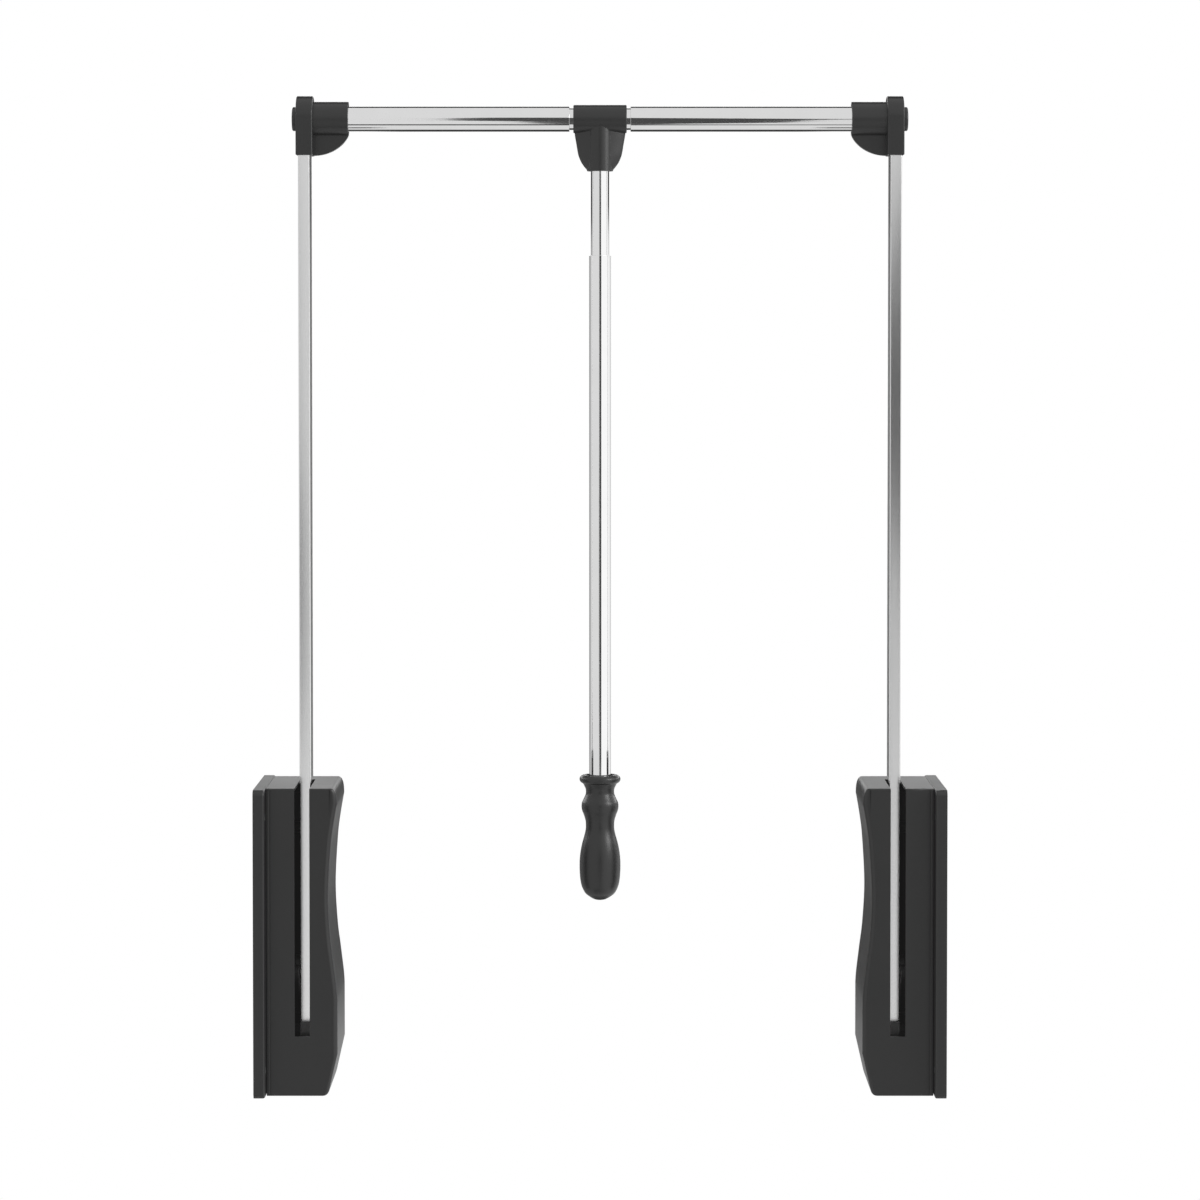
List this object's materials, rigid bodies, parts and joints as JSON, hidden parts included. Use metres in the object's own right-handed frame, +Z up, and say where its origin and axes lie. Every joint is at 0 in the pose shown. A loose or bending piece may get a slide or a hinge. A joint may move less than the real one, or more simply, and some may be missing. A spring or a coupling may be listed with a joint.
{
  "type": "pull down closet rod",
  "caption": "Wardrobe lift with a chrome telescopic rail on two sprung arms, black side housings and a pull rod with a turned handle.",
  "frame": {"origin": "midway between the two side faces, midway in the depth of the base plates, level with their bottom edge", "axes": "+Z up along the arms and the longest extent, +X from the left side face to the right one along the rail, -Y to the front, the side that the rail swings down to"},
  "size_m": [0.6, 0.14, 0.87],
  "materials": {
    "black_plastic": "satin moulded, faint grain",
    "dark_plastic": "matt moulded",
    "chrome": "polished",
    "satin_steel": "satin, fine grain along the arm",
    "zinc_steel": "zinc plated",
    "dark_steel": "blackened and oiled",
    "rubber": "matt"
  },
  "bodies": {
    "left_housing": {"left_base_plate": "dark_plastic", "left_cover": "black_plastic", "left_pivot_shaft": "zinc_steel", "left_shaft_clip": "dark_steel", "left_anchor_pin": "zinc_steel", "left_lift_spring": "dark_steel", "left_open_stop": "rubber", "left_closed_stop": "rubber", "left_cover_screw_1": "zinc_steel", "left_cover_screw_2": "zinc_steel", "left_cover_screw_3": "zinc_steel"},
    "left_frame": {"left_crank": "dark_steel", "left_crank_bolt": "zinc_steel", "left_crank_pin": "zinc_steel", "left_arm": "satin_steel", "left_arm_foot_plug": "black_plastic", "left_end_bracket": "black_plastic", "left_bracket_bolt": "zinc_steel", "left_bracket_button": "black_plastic", "left_outer_tube": "chrome", "left_tube_plug": "dark_plastic"},
    "right_housing": {"right_base_plate": "dark_plastic", "right_cover": "black_plastic", "right_pivot_shaft": "zinc_steel", "right_shaft_clip": "dark_steel", "right_anchor_pin": "zinc_steel", "right_lift_spring": "dark_steel", "right_open_stop": "rubber", "right_closed_stop": "rubber", "right_cover_screw_1": "zinc_steel", "right_cover_screw_2": "zinc_steel", "right_cover_screw_3": "zinc_steel"},
    "right_frame": {"right_crank": "dark_steel", "right_crank_bolt": "zinc_steel", "right_crank_pin": "zinc_steel", "right_arm": "satin_steel", "right_arm_foot_plug": "black_plastic", "right_end_bracket": "black_plastic", "right_bracket_bolt": "zinc_steel", "right_bracket_button": "black_plastic", "right_outer_tube": "chrome", "right_tube_plug": "dark_plastic"},
    "inner_rail": {"inner_tube": "chrome", "left_tube_bush": "dark_plastic", "right_tube_bush": "dark_plastic"},
    "pull_rod": {"tee": "black_plastic", "tee_screw": "zinc_steel", "upper_rod": "chrome", "rod_bush": "dark_plastic"},
    "grip": {"lower_rod": "chrome", "handle": "black_plastic", "handle_screw": "zinc_steel"}
  },
  "joints": [
    {"name": "width", "type": "slide", "parent": "left_housing", "child": "right_housing", "axis": [1, 0, 0], "range_m": [0, 0.23]},
    {"name": "swing", "type": "hinge", "parent": "left_housing", "child": "left_frame", "pos_m": [-0.2586, 0.008, 0.078], "axis": [1, 0, 0], "range_deg": [0, 97], "stiffness_Nm_per_rad": 6, "springref_deg": -34.38, "deforming": ["left_lift_spring"]},
    {"name": "right_swing", "type": "hinge", "parent": "right_housing", "child": "right_frame", "pos_m": [0.2586, 0.008, 0.078], "axis": [1, 0, 0], "range_deg": [0, 97], "stiffness_Nm_per_rad": 6, "springref_deg": -34.38, "deforming": ["right_lift_spring"]},
    {"name": "rail_slide", "type": "slide", "parent": "left_frame", "child": "inner_rail", "axis": [1, 0, 0], "range_m": [0, 0.115]},
    {"name": "rod_swivel", "type": "hinge", "parent": "inner_rail", "child": "pull_rod", "pos_m": [0, 0.008, 0.85], "axis": [-1, 0, 0], "range_deg": [-30, 97]},
    {"name": "rod_extend", "type": "slide", "parent": "pull_rod", "child": "grip", "axis": [0, 0, -1], "range_m": [-0.07, 0.3]}
  ],
  "couplings": [
    {"joint": "right_swing", "follows": "swing", "ratio": 1},
    {"joint": "rail_slide", "follows": "width", "ratio": 0.5}
  ]
}
